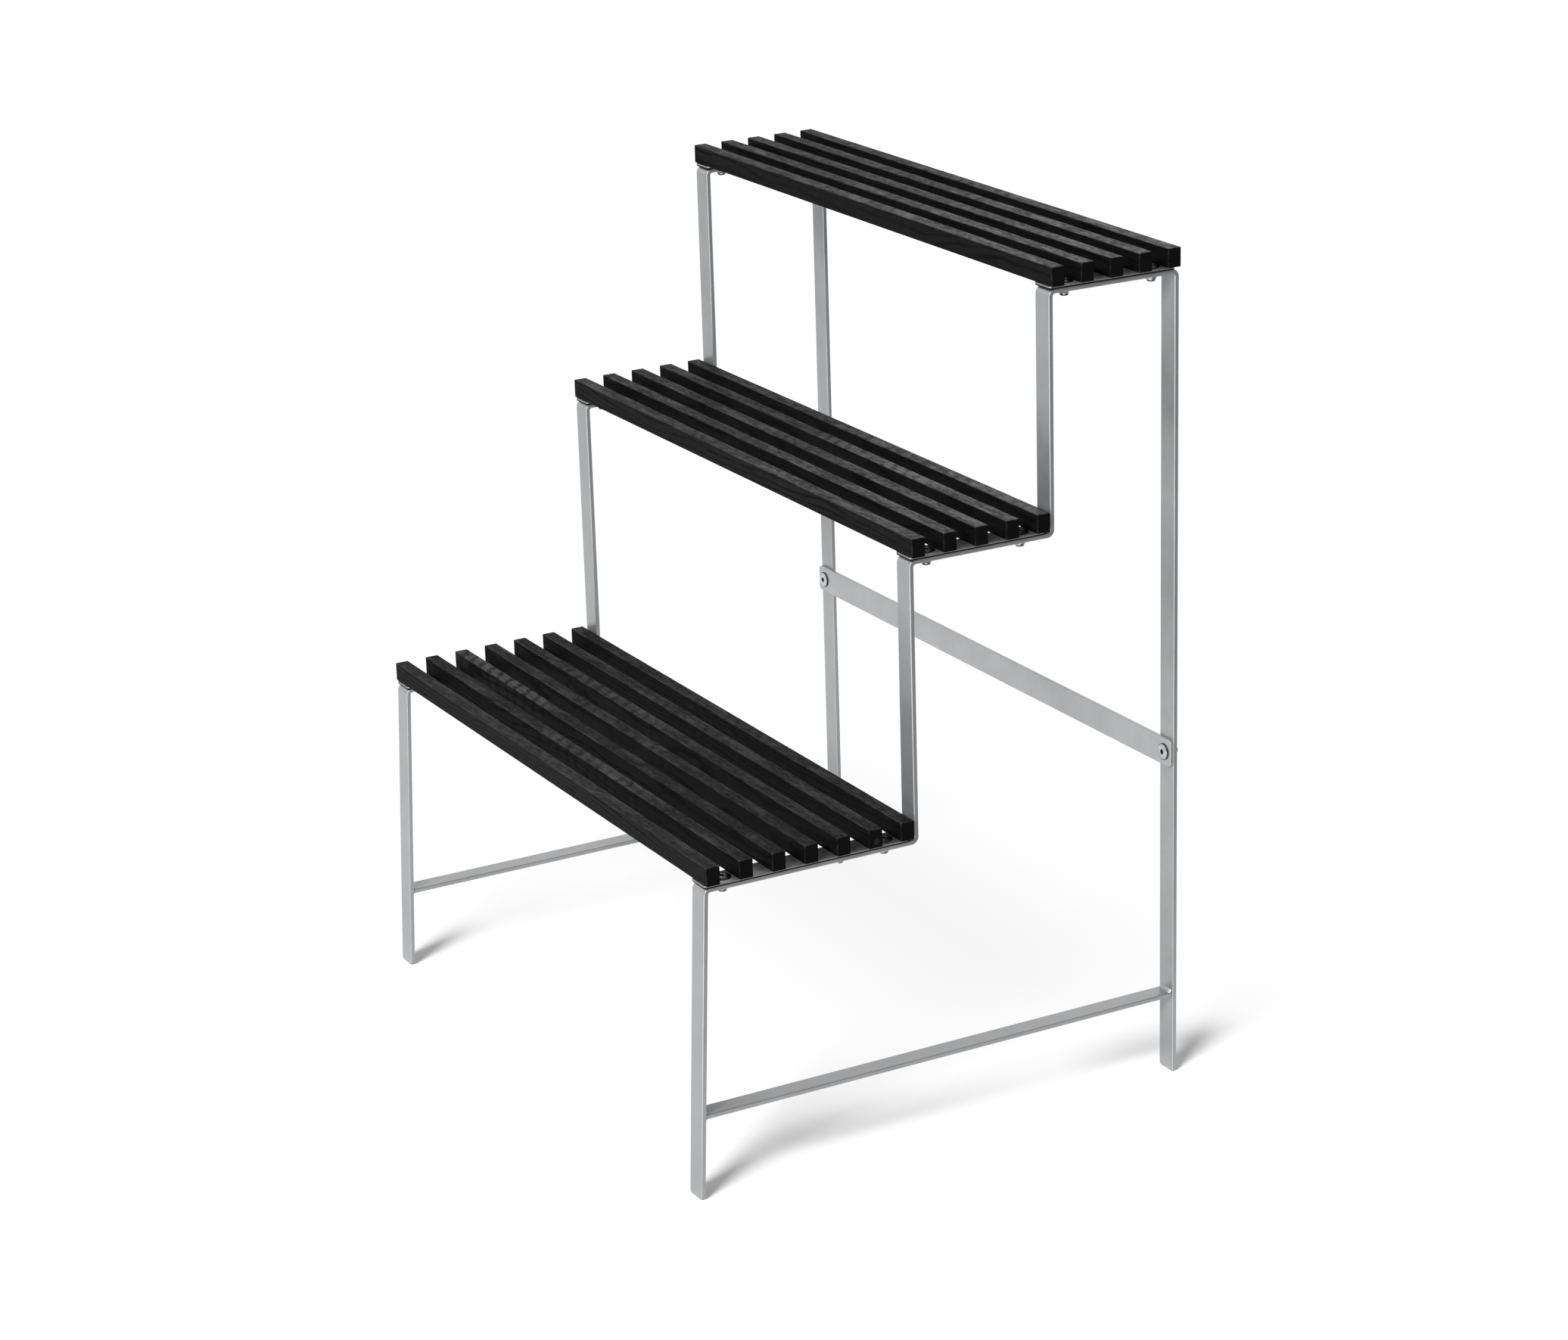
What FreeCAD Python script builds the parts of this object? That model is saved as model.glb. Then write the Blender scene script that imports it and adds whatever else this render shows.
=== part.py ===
import FreeCAD, Part
import math
import os
import Sketcher

# Plant stand with three steps: two side frames bent from flat bar, tie bars welded low between their
# legs, a cross bar behind, and three shelves of wooden slats on end plates, bolted to the frames.
# Millimetres, +Z up. X runs along the slats, the front is -Y, and the floor is z = 0. The origin is in
# the middle of the footprint. Inside the pieces y is counted from the face of the top of the front leg.

doc = FreeCAD.newDocument("plant_stand")
sizes = doc.addObject("Spreadsheet::Sheet", "Sizes")

SIZES = [
    # side frames, bent from one flat bar each
    ("stand_width", 740, "over the outer edges of both side frames"),
    ("bar_width", 25, "flat bar of the side frames"),
    ("bar_thickness", 5, "flat bar of the side frames"),
    ("bend_radius", 3, "inside of every bend"),
    ("rolled_edge", 1, "round along the edges of a rolled bar"),
    ("foot_corner", 4, "rounded lower corners of the feet"),
    ("front_rake", 16, "how far the front foot stands forward of the first bend"),
    ("lower_rise", 335, "floor to the top of the lower run"),
    ("middle_rise", 295, "from there to the top of the middle run"),
    ("upper_rise", 250, "from there to the top of the upper run"),
    # tie bars and their welds
    ("tie_level", 92, "top of the tie bars"),
    ("tie_width", 22, "tie bar"),
    ("tie_thickness", 5, "tie bar"),
    ("weld_leg", 4, "leg of the fillet welds"),
    # back cross bar
    ("cross_level", 378, "top edge of the cross bar"),
    ("cross_height", 30, "cross bar"),
    ("cross_thickness", 4, "cross bar"),
    ("cross_corner", 5, "rounded ends of the cross bar"),
    # end plates
    ("plate_width", 30, "end plate, along the slats"),
    ("plate_thickness", 3, "end plate"),
    ("plate_overhang", 2, "end plate beyond the outer edge of its side frame"),
    ("plate_corner", 4, "rounded corners of an end plate"),
    ("plate_lead", 1, "front end of a plate before its first slat"),
    ("plate_tail", 4, "rear end of a plate short of the last slat's back"),
    # slats
    ("slat_width", 15, "slat, front to back"),
    ("slat_height", 20, "slat"),
    ("slat_edge", 0.8, "eased long edges of a slat"),
    ("slat_overhang", 4, "slat end beyond the outer edge of the side frame"),
    ("slat_setback", 1, "first slat behind the face of the leg or riser below it"),
    ("lower_spare", 4, "gap between slats of the lower shelf, beyond the bolt head in it"),
    ("middle_spare", 3.5, "gap between slats of the middle shelf, beyond the bolt head in it"),
    ("upper_spare", 1.5, "gap between slats of the upper shelf, beyond the bolt head in it"),
    ("riser_gap", 3, "last slat before the riser behind it"),
    # bolts with flat heads, and their nuts
    ("bolt_diameter", 6, "bolt shank"),
    ("bolt_clearance", 0.4, "hole wider than the shank"),
    ("head_diameter", 18, "flat bolt head"),
    ("head_height", 2.4, "flat bolt head"),
    ("head_bevel", 1.4, "height of the bevel round the head"),
    ("head_slope", 2.2, "width of the bevel round the head"),
    ("socket_width", 4, "hex socket across flats"),
    ("socket_depth", 1.6, "hex socket"),
    ("bolt_end", 1.5, "bolt standing out of its nut"),
    ("bolt_tip", 0.6, "chamfer at the end of the bolt"),
    ("nut_width", 10, "hex nut across flats"),
    ("nut_height", 5, "hex nut"),
    ("nut_chamfer", 0.5, "chamfer of the nut's corners"),
    ("thread_clearance", 0.1, "nut bore wider than the shank"),
    # cuts run this far past what they cut
    ("overrun", 10, "length of a cut beyond the material"),
]

for row, (alias, value, note) in enumerate(SIZES, start=1):
    sizes.set(f"A{row}", alias)
    sizes.set(f"B{row}", str(value))
    sizes.setAlias(f"B{row}", alias)
    sizes.set(f"C{row}", note)
doc.recompute()

SIDES = [("left", -1), ("right", 1)]


class Shelf:
    """Slats on one run of the side frames, with room for a bolt head in every gap."""

    def __init__(self, name, count, start, level_below, room_behind):
        self.name = name
        self.count = count
        self.start = start
        self.level = f"({level_below} + Sizes.{name}_rise)"
        self.pitch = f"(Sizes.slat_width + Sizes.head_diameter + Sizes.{name}_spare)"
        self.end = f"({start} + {self.slat_back(self.count - 1)} + {room_behind})"

    def slat_front(self, k):
        """Front of slat k, counted from the start of the run like every place in a shelf."""
        return f"(Sizes.slat_setback + {k} * {self.pitch})"

    def slat_back(self, k):
        return f"({self.slat_front(k)} + Sizes.slat_width)"

    def bolt_rows(self):
        """Middle of the first gap between slats and of the last."""
        rows = []
        for k in (0, self.count - 2):
            rows.append(f"(({self.slat_back(k)} + {self.slat_front(k + 1)}) / 2)")
        return rows


LOWER = Shelf("lower", 7, "0", "0", "Sizes.riser_gap")
MIDDLE = Shelf("middle", 5, LOWER.end, LOWER.level, "Sizes.riser_gap")
UPPER = Shelf("upper", 5, MIDDLE.end, MIDDLE.level, "Sizes.slat_setback")
SHELVES = [LOWER, MIDDLE, UPPER]

# Places that several pieces share, worked out from the sheet
HALF_BAR = "Sizes.bar_thickness / 2"
BACK = UPPER.end
BAR_CENTRE = "(Sizes.stand_width - Sizes.bar_width) / 2"
BOLT_HOLE = "(Sizes.bolt_diameter + Sizes.bolt_clearance)"
BEND_HEIGHT = f"({LOWER.level} - {HALF_BAR})"
LEAN_FACTOR = f"(sqrt({BEND_HEIGHT} ^ 2 + Sizes.front_rake ^ 2) / {BEND_HEIGHT})"
FRONT_TOE = f"({HALF_BAR} * (1 - {LEAN_FACTOR}) - Sizes.front_rake)"
BOLT_BACK = f"({BACK} + Sizes.nut_height + Sizes.bolt_end)"
FOOTPRINT_MIDDLE = f"({FRONT_TOE} + {BOLT_BACK}) / 2"

nodes = []
TOUCH = 1e-5


def number(expression):
    return float(sizes.evalExpression(expression))


def near(a, b):
    return math.isclose(a, b, abs_tol=TOUCH)


def new_body(name):
    body = doc.addObject("PartDesign::Body", name)
    body.Label = name
    nodes.append(body)
    return body


def place(body, x, y, z):
    body.setExpression(".Placement.Base.x", x)
    body.setExpression(".Placement.Base.y", f"{y} - {FOOTPRINT_MIDDLE}")
    body.setExpression(".Placement.Base.z", z)


def new_sketch(body, name, role, height=None):
    plane = next(p for p in body.Origin.OriginFeatures if p.Role == role)
    sketch = body.newObject("Sketcher::SketchObject", f"{body.Name}_{name}")
    sketch.AttachmentSupport = [(plane, "")]
    sketch.MapMode = "FlatFace"
    if height:
        sketch.setExpression(".AttachmentOffset.Base.z", height)
    return sketch


def fix_point(sketch, element, end, u, v):
    """Holds a point of the sketch at (u, v) from its origin."""
    for kind, expression in (("DistanceX", u), ("DistanceY", v)):
        constraint = Sketcher.Constraint(kind, -1, 1, element, end, number(expression))
        index = sketch.addConstraint(constraint)
        sketch.setExpression(f"Constraints[{index}]", expression)


def polygon(sketch, corners):
    """Closed outline with straight sides through the corners."""
    spots = [FreeCAD.Vector(number(u), number(v), 0) for u, v in corners]
    lines = []
    for k, spot in enumerate(spots):
        lines.append(sketch.addGeometry(Part.LineSegment(spot, spots[(k + 1) % len(spots)])))
    for k, (u, v) in enumerate(corners):
        sketch.addConstraint(Sketcher.Constraint("Coincident", lines[k - 1], 2, lines[k], 1))
        fix_point(sketch, lines[k], 1, u, v)


def bent_line(sketch, corners, radius, closed=False):
    """Straight stretches through the corners, with a tangent arc of the same radius at each bend."""
    spots = [FreeCAD.Vector(number(u), number(v), 0) for u, v in corners]
    count = len(spots)
    bends = range(count) if closed else range(1, count - 1)
    size = number(radius)
    entry = {}
    leave = {}
    for k in bends:
        back = (spots[k - 1] - spots[k]).normalize()
        ahead = (spots[(k + 1) % count] - spots[k]).normalize()
        reach = size / math.tan(back.getAngle(ahead) / 2)
        entry[k] = spots[k] + back * reach
        leave[k] = spots[k] + ahead * reach
    stretches = count if closed else count - 1
    lines = []
    for k in range(stretches):
        after = (k + 1) % count
        line = Part.LineSegment(leave.get(k, spots[k]), entry.get(after, spots[after]))
        lines.append(sketch.addGeometry(line))
    for k in bends:
        before, after = lines[k - 1], lines[k]
        into = (spots[k] - entry[k]).normalize()
        out = (leave[k] - spots[k]).normalize()
        left_turn = into.x * out.y - into.y * out.x > 0
        side = 1 if left_turn else -1
        centre = entry[k] + FreeCAD.Vector(-into.y, into.x, 0) * (side * size)
        ends = [entry[k] - centre, leave[k] - centre]
        if not left_turn:
            ends.reverse()
        angles = [math.atan2(end.y, end.x) for end in ends]
        circle = Part.Circle(centre, FreeCAD.Vector(0, 0, 1), size)
        arc = sketch.addGeometry(Part.ArcOfCircle(circle, angles[0], angles[1]))
        first, last = (1, 2) if left_turn else (2, 1)
        sketch.addConstraint(Sketcher.Constraint("Tangent", before, 2, arc, first))
        sketch.addConstraint(Sketcher.Constraint("Tangent", arc, last, after, 1))
        index = sketch.addConstraint(Sketcher.Constraint("Radius", arc, size))
        sketch.setExpression(f"Constraints[{index}]", radius)
        corner = sketch.addGeometry(Part.Point(spots[k]), True)
        fix_point(sketch, corner, 1, *corners[k])
        sketch.addConstraint(Sketcher.Constraint("PointOnObject", corner, 1, before))
        sketch.addConstraint(Sketcher.Constraint("PointOnObject", corner, 1, after))
    if not closed:
        fix_point(sketch, lines[0], 1, *corners[0])
        fix_point(sketch, lines[-1], 2, *corners[-1])


def circles(sketch, centres, diameter):
    for u, v in centres:
        spot = FreeCAD.Vector(number(u), number(v), 0)
        ring = Part.Circle(spot, FreeCAD.Vector(0, 0, 1), number(diameter) / 2)
        circle = sketch.addGeometry(ring)
        fix_point(sketch, circle, 3, u, v)
        index = sketch.addConstraint(Sketcher.Constraint("Diameter", circle, number(diameter)))
        sketch.setExpression(f"Constraints[{index}]", diameter)


def rectangle(low_u, low_v, high_u, high_v):
    return [(low_u, low_v), (high_u, low_v), (high_u, high_v), (low_u, high_v)]


def hexagon(flats):
    """Corners of a hexagon of that width across flats, with a corner on the first axis."""
    reach = f"{flats} / sqrt(3)"
    corners = []
    for u, v in ((2, 0), (1, 1), (-1, 1), (-2, 0), (-1, -1), (1, -1)):
        corners.append((f"{u} * {reach} / 2", f"{v} * {flats} / 2"))
    return corners


def pad(body, sketch, length, symmetric=False):
    feature = body.newObject("PartDesign::Pad", f"{sketch.Name}_pad")
    feature.Profile = sketch
    feature.setExpression("Length", length)
    if symmetric:
        feature.SideType = "Symmetric"
    doc.recompute()
    return feature


def cut(body, sketch, length=None, upwards=False):
    """Cuts against the sketch's own direction, or along it, to a length or right through."""
    whole = body.Tip.Shape.Volume
    feature = body.newObject("PartDesign::Pocket", f"{sketch.Name}_cut")
    feature.Profile = sketch
    feature.Reversed = upwards
    if length:
        feature.setExpression("Length", length)
    else:
        feature.Type = "ThroughAll"
    doc.recompute()
    if not feature.Shape.Volume < whole:
        raise ValueError(f"{feature.Name} cuts nothing")
    return feature


def turn(body, sketch):
    feature = body.newObject("PartDesign::Revolution", f"{sketch.Name}_turned")
    feature.Profile = sketch
    feature.ReferenceAxis = (sketch, ["V_Axis"])
    doc.recompute()
    return feature


def round_edges(body, name, radius, wanted):
    """Rounds the edges of the body whose box passes the test."""
    solid = body.Tip
    found = []
    for k, edge in enumerate(solid.Shape.Edges, start=1):
        if wanted(edge.BoundBox):
            found.append(f"Edge{k}")
    feature = body.newObject("PartDesign::Fillet", f"{body.Name}_{name}")
    feature.Base = (solid, found)
    feature.setExpression("Radius", radius)
    doc.recompute()
    return feature


# Side frames: flat bar swept round six bends, from the rear foot up, down the steps to the front foot
FRAME_LINE = [
    (f"{BACK} - {HALF_BAR}", "0"),
    (f"{BACK} - {HALF_BAR}", f"{UPPER.level} - {HALF_BAR}"),
    (f"{UPPER.start} + {HALF_BAR}", f"{UPPER.level} - {HALF_BAR}"),
    (f"{UPPER.start} + {HALF_BAR}", f"{MIDDLE.level} - {HALF_BAR}"),
    (f"{MIDDLE.start} + {HALF_BAR}", f"{MIDDLE.level} - {HALF_BAR}"),
    (f"{MIDDLE.start} + {HALF_BAR}", BEND_HEIGHT),
    (HALF_BAR, BEND_HEIGHT),
    (f"{HALF_BAR} - Sizes.front_rake * (1 + Sizes.overrun / {BEND_HEIGHT})", "-Sizes.overrun"),
]


def side_frame(name, side):
    body = new_body(f"side_frame_{name}")
    line = new_sketch(body, "line", "YZ_Plane")
    bent_line(line, FRAME_LINE, f"Sizes.bend_radius + {HALF_BAR}")
    section = new_sketch(body, "section", "XY_Plane")
    half = "Sizes.bar_width / 2"
    polygon(section, rectangle(f"-{half}", f"{BACK} - Sizes.bar_thickness", half, BACK))
    doc.recompute()
    bar = body.newObject("PartDesign::AdditivePipe", f"{body.Name}_bar")
    bar.Profile = section
    bar.Spine = (line, [])
    bar.Mode = "Binormal"
    bar.Binormal = FreeCAD.Vector(1, 0, 0)
    doc.recompute()
    floor = new_sketch(body, "floor", "XY_Plane")
    wide = f"{half} + Sizes.overrun"
    toe = "-2 * Sizes.front_rake - Sizes.overrun"
    polygon(floor, rectangle(f"-({wide})", toe, wide, "Sizes.bar_thickness"))
    cut(body, floor, "2 * Sizes.overrun")
    reach = number(half)
    round_edges(
        body,
        "foot_corners",
        "Sizes.foot_corner",
        lambda box: near(abs(box.XMin), reach) and near(box.XLength, 0) and near(box.ZMax, 0),
    )
    corner = number("Sizes.foot_corner")
    round_edges(
        body,
        "rolled_edges",
        "Sizes.rolled_edge",
        lambda box: near(abs(box.XMin), reach)
        and near(box.XLength, 0)
        and not (near(box.ZMin, corner) and near(box.ZMax, corner)),
    )
    shelf_holes = new_sketch(body, "shelf_holes", "XY_Plane")
    centres = []
    for shelf in SHELVES:
        centres += [("0", f"{shelf.start} + {row}") for row in shelf.bolt_rows()]
    circles(shelf_holes, centres, BOLT_HOLE)
    cut(body, shelf_holes, upwards=True)
    cross_hole = new_sketch(body, "cross_hole", "XZ_Plane", f"Sizes.bar_thickness - {BACK}")
    circles(cross_hole, [("0", "Sizes.cross_level - Sizes.cross_height / 2")], BOLT_HOLE)
    cut(body, cross_hole, "Sizes.bar_thickness + Sizes.overrun")
    place(body, f"{side} * {BAR_CENTRE}", "0", "0")


for name, side in SIDES:
    side_frame(name, side)


# Tie bars: between the leaning front leg and the upright rear leg, so the front end is cut to the lean
def leg_back(z):
    """Back face of the front leg at the height z."""
    drop = f"({BEND_HEIGHT} - ({z})) / {BEND_HEIGHT}"
    return f"({HALF_BAR} * (1 + {LEAN_FACTOR}) - Sizes.front_rake * {drop})"


TIE_TOP = "Sizes.tie_level"
TIE_BOTTOM = "(Sizes.tie_level - Sizes.tie_thickness)"
LEG_FRONT = f"({BACK} - Sizes.bar_thickness)"


def tie_bar(name, side):
    body = new_body(f"tie_bar_{name}")
    profile = new_sketch(body, "profile", "YZ_Plane")
    corners = [
        (leg_back(TIE_BOTTOM), TIE_BOTTOM),
        (LEG_FRONT, TIE_BOTTOM),
        (LEG_FRONT, TIE_TOP),
        (leg_back(TIE_TOP), TIE_TOP),
    ]
    polygon(profile, corners)
    pad(body, profile, "Sizes.tie_width", symmetric=True)
    long_side = number("Sizes.tie_thickness") * 2
    round_edges(
        body,
        "rolled_edges",
        "Sizes.rolled_edge",
        lambda box: near(box.XLength, 0) and box.YLength > long_side,
    )
    place(body, f"{side} * {BAR_CENTRE}", "0", "0")


def tie_welds(name, side):
    """Fillet welds above and below the tie bar, at the front leg and at the rear leg."""
    body = new_body(f"tie_welds_{name}")
    body.AllowCompound = True
    for end, face in (("front", leg_back), ("rear", lambda z: LEG_FRONT)):
        away = 1 if end == "front" else -1
        for place_name, seat, up in (("over", TIE_TOP, 1), ("under", TIE_BOTTOM, -1)):
            bead = new_sketch(body, f"{end}_{place_name}", "YZ_Plane")
            tip = f"({seat} + {up} * Sizes.weld_leg)"
            corners = [
                (face(seat), seat),
                (f"{face(seat)} + {away} * Sizes.weld_leg", seat),
                (face(tip), tip),
            ]
            polygon(bead, corners)
            pad(body, bead, "Sizes.tie_width - 2 * Sizes.rolled_edge", symmetric=True)
    place(body, f"{side} * {BAR_CENTRE}", "0", "0")


for name, side in SIDES:
    tie_bar(name, side)
    tie_welds(name, side)


# Back cross bar: flat bar on edge, against the front faces of the rear legs
def cross_bar():
    body = new_body("back_cross_bar")
    outline = new_sketch(body, "outline", "XZ_Plane")
    half = "Sizes.stand_width / 2"
    corners = rectangle(f"-{half}", "0", half, "Sizes.cross_height")
    bent_line(outline, corners, "Sizes.cross_corner", closed=True)
    pad(body, outline, "Sizes.cross_thickness")
    round_edges(body, "rolled_edges", "Sizes.rolled_edge", lambda box: near(box.YLength, 0))
    holes = new_sketch(body, "holes", "XZ_Plane")
    centres = [(f"{side} * {BAR_CENTRE}", "Sizes.cross_height / 2") for _, side in SIDES]
    circles(holes, centres, BOLT_HOLE)
    cut(body, holes, upwards=True)
    place(body, "0", LEG_FRONT, "Sizes.cross_level - Sizes.cross_height")


cross_bar()


# End plates: one under each end of each shelf, on top of the run
def end_plate(shelf, name, side):
    body = new_body(f"end_plate_{shelf.name}_{name}")
    outline = new_sketch(body, "outline", "XY_Plane")
    outer = "(Sizes.bar_width / 2 + Sizes.plate_overhang)"
    inner = f"({outer} - Sizes.plate_width)"
    edges = (f"-{outer}", f"-{inner}") if side < 0 else (inner, outer)
    front = "(Sizes.slat_setback - Sizes.plate_lead)"
    rear = f"({shelf.slat_back(shelf.count - 1)} - Sizes.plate_tail)"
    corners = rectangle(edges[0], front, edges[1], rear)
    bent_line(outline, corners, "Sizes.plate_corner", closed=True)
    pad(body, outline, "Sizes.plate_thickness")
    bolt_holes = new_sketch(body, "bolt_holes", "XY_Plane")
    circles(bolt_holes, [("0", row) for row in shelf.bolt_rows()], BOLT_HOLE)
    cut(body, bolt_holes, upwards=True)
    place(body, f"{side} * {BAR_CENTRE}", shelf.start, shelf.level)


for shelf in SHELVES:
    for name, side in SIDES:
        end_plate(shelf, name, side)


# Slats: stained wood, eased along the edges, laid across the two end plates of their shelf
def slat(shelf, k):
    body = new_body(f"slat_{shelf.name}_{k + 1}")
    section = new_sketch(body, "section", "YZ_Plane")
    corners = rectangle("0", "0", "Sizes.slat_width", "Sizes.slat_height")
    bent_line(section, corners, "Sizes.slat_edge", closed=True)
    pad(body, section, "Sizes.stand_width + 2 * Sizes.slat_overhang", symmetric=True)
    front = f"{shelf.start} + {shelf.slat_front(k)}"
    place(body, "0", front, f"{shelf.level} + Sizes.plate_thickness")


for shelf in SHELVES:
    for k in range(shelf.count):
        slat(shelf, k)


# Bolts: flat head with a bevelled rim and a hex socket, seat at z = 0, shank down
def bolt(name, grip):
    """A bolt whose shank passes through that thickness and a nut."""
    body = new_body(name)
    profile = new_sketch(body, "profile", "XZ_Plane")
    rim = "Sizes.head_diameter / 2"
    shank = "Sizes.bolt_diameter / 2"
    end = f"-({grip} + Sizes.nut_height + Sizes.bolt_end)"
    corners = [
        ("0", end),
        (f"{shank} - Sizes.bolt_tip", end),
        (shank, f"{end} + Sizes.bolt_tip"),
        (shank, "0"),
        (rim, "0"),
        (rim, "Sizes.head_height - Sizes.head_bevel"),
        (f"{rim} - Sizes.head_slope", "Sizes.head_height"),
        ("0", "Sizes.head_height"),
    ]
    polygon(profile, corners)
    turn(body, profile)
    socket = new_sketch(body, "socket", "XY_Plane", "Sizes.head_height")
    polygon(socket, hexagon("Sizes.socket_width"))
    cut(body, socket, "Sizes.socket_depth")
    return body


# Nuts: hexagonal, seat at z = 0, body below, with the corners chamfered at the open end
def nut(name):
    body = new_body(name)
    outline = new_sketch(body, "outline", "XY_Plane", "-Sizes.nut_height")
    polygon(outline, hexagon("Sizes.nut_width"))
    pad(body, outline, "Sizes.nut_height")
    bore = new_sketch(body, "bore", "XY_Plane")
    circles(bore, [("0", "0")], "Sizes.bolt_diameter + Sizes.thread_clearance")
    cut(body, bore)
    ring = new_sketch(body, "chamfer", "XZ_Plane")
    flat = "Sizes.nut_width / 2"
    corner = "Sizes.nut_width / sqrt(3)"
    wide = f"({corner} + Sizes.nut_chamfer)"
    slope = f"(Sizes.nut_chamfer * ({wide} - {flat}) / ({corner} - {flat}))"
    foot = "-Sizes.nut_height"
    polygon(ring, [(flat, foot), (wide, foot), (wide, f"{foot} + {slope}")])
    whole = body.Tip.Shape.Volume
    groove = body.newObject("PartDesign::Groove", f"{body.Name}_chamfer")
    groove.Profile = ring
    groove.ReferenceAxis = (ring, ["V_Axis"])
    doc.recompute()
    if not groove.Shape.Volume < whole:
        raise ValueError(f"{groove.Name} cuts nothing")
    return body


def shelf_fasteners(shelf):
    """A bolt and a nut near each corner of the shelf, in the gaps beside its first and last slat."""
    grip = "Sizes.plate_thickness + Sizes.bar_thickness"
    for side_name, side in SIDES:
        for end, row in zip(("front", "rear"), shelf.bolt_rows()):
            spot = (f"{side} * {BAR_CENTRE}", f"{shelf.start} + {row}")
            above = bolt(f"shelf_bolt_{shelf.name}_{side_name}_{end}", grip)
            place(above, *spot, f"{shelf.level} + Sizes.plate_thickness")
            below = nut(f"shelf_nut_{shelf.name}_{side_name}_{end}")
            place(below, *spot, f"{shelf.level} - Sizes.bar_thickness")


for shelf in SHELVES:
    shelf_fasteners(shelf)

# Cross bar bolts and nuts: heads to the front, nuts behind the rear legs
FACE_FORWARD = FreeCAD.Rotation(FreeCAD.Vector(1, 0, 0), 90)

for name, side in SIDES:
    height = "Sizes.cross_level - Sizes.cross_height / 2"
    before = bolt(f"cross_bolt_{name}", "Sizes.cross_thickness + Sizes.bar_thickness")
    before.Placement.Rotation = FACE_FORWARD
    place(before, f"{side} * {BAR_CENTRE}", f"{LEG_FRONT} - Sizes.cross_thickness", height)
    behind = nut(f"cross_nut_{name}")
    behind.Placement.Rotation = FACE_FORWARD
    place(behind, f"{side} * {BAR_CENTRE}", BACK, height)


# Every object is checked before anything is written
doc.recompute()
for item in doc.Objects:
    if "Invalid" in item.State or "Error" in item.State:
        raise RuntimeError(f"{item.Name} failed: {item.State}")
for body in nodes:
    if body.Shape.isNull() or not body.Shape.isValid():
        raise RuntimeError(f"{body.Label} has no valid shape")

os.makedirs("parts", exist_ok=True)
for body in nodes:
    body.Shape.exportStep(f"parts/{body.Label}.step")
    box = body.Shape.BoundBox
    print(
        f"{body.Label}: {len(body.Shape.Solids)} solids, {body.Shape.Volume / 1000:.2f} cm3, "
        f"x {box.XMin:.2f} {box.XMax:.2f} y {box.YMin:.2f} {box.YMax:.2f} z {box.ZMin:.2f} {box.ZMax:.2f}"
    )
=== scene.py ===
import math

import bmesh
import bpy
from mathutils import Matrix, Vector, noise


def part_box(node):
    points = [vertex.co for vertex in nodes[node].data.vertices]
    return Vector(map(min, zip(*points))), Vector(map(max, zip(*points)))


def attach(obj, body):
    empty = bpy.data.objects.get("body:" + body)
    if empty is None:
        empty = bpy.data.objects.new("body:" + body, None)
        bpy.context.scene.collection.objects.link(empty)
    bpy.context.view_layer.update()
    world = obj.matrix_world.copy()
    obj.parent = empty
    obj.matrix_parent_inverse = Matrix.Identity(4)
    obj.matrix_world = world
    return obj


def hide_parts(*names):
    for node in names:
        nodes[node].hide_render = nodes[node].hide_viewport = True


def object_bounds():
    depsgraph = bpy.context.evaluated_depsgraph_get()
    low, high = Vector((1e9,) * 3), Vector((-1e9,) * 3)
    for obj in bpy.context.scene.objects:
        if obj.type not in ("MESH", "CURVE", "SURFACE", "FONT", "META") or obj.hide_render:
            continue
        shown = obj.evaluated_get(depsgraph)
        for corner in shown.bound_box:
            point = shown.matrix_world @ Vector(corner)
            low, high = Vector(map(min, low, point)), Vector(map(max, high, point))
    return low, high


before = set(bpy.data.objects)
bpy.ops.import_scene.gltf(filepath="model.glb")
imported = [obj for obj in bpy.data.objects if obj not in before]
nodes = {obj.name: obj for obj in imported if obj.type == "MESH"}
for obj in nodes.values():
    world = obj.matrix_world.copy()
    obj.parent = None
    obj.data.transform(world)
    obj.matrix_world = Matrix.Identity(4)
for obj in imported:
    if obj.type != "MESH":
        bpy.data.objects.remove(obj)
cad_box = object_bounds()


# Side frames
# Each side is one 25 x 5 mm flat steel bar with rolled edges, bent cold round six tight corners into
# front leg, three steps and rear leg, then sprayed with a satin silver-grey lacquer after welding.
class Reading:
    """A value that varies over a surface: a node's socket that takes part in Python sums."""

    def __init__(self, finish, socket):
        self.finish = finish
        self.socket = socket

    def math(self, operation, first, second=0.0):
        return self.finish.add("Math", {"operation": operation}, {0: first, 1: second})

    def __add__(self, other):
        return self.math("ADD", self, other)

    def __radd__(self, other):
        return self.math("ADD", other, self)

    def __sub__(self, other):
        return self.math("SUBTRACT", self, other)

    def __rsub__(self, other):
        return self.math("SUBTRACT", other, self)

    def __mul__(self, other):
        return self.math("MULTIPLY", self, other)

    def __rmul__(self, other):
        return self.math("MULTIPLY", other, self)

    def __abs__(self):
        return self.math("ABSOLUTE", self)

    def fraction(self):
        """What is left over a whole number."""
        return self.math("FRACT", self)

    def at_most(self, other):
        return self.math("MINIMUM", self, other)


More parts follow.
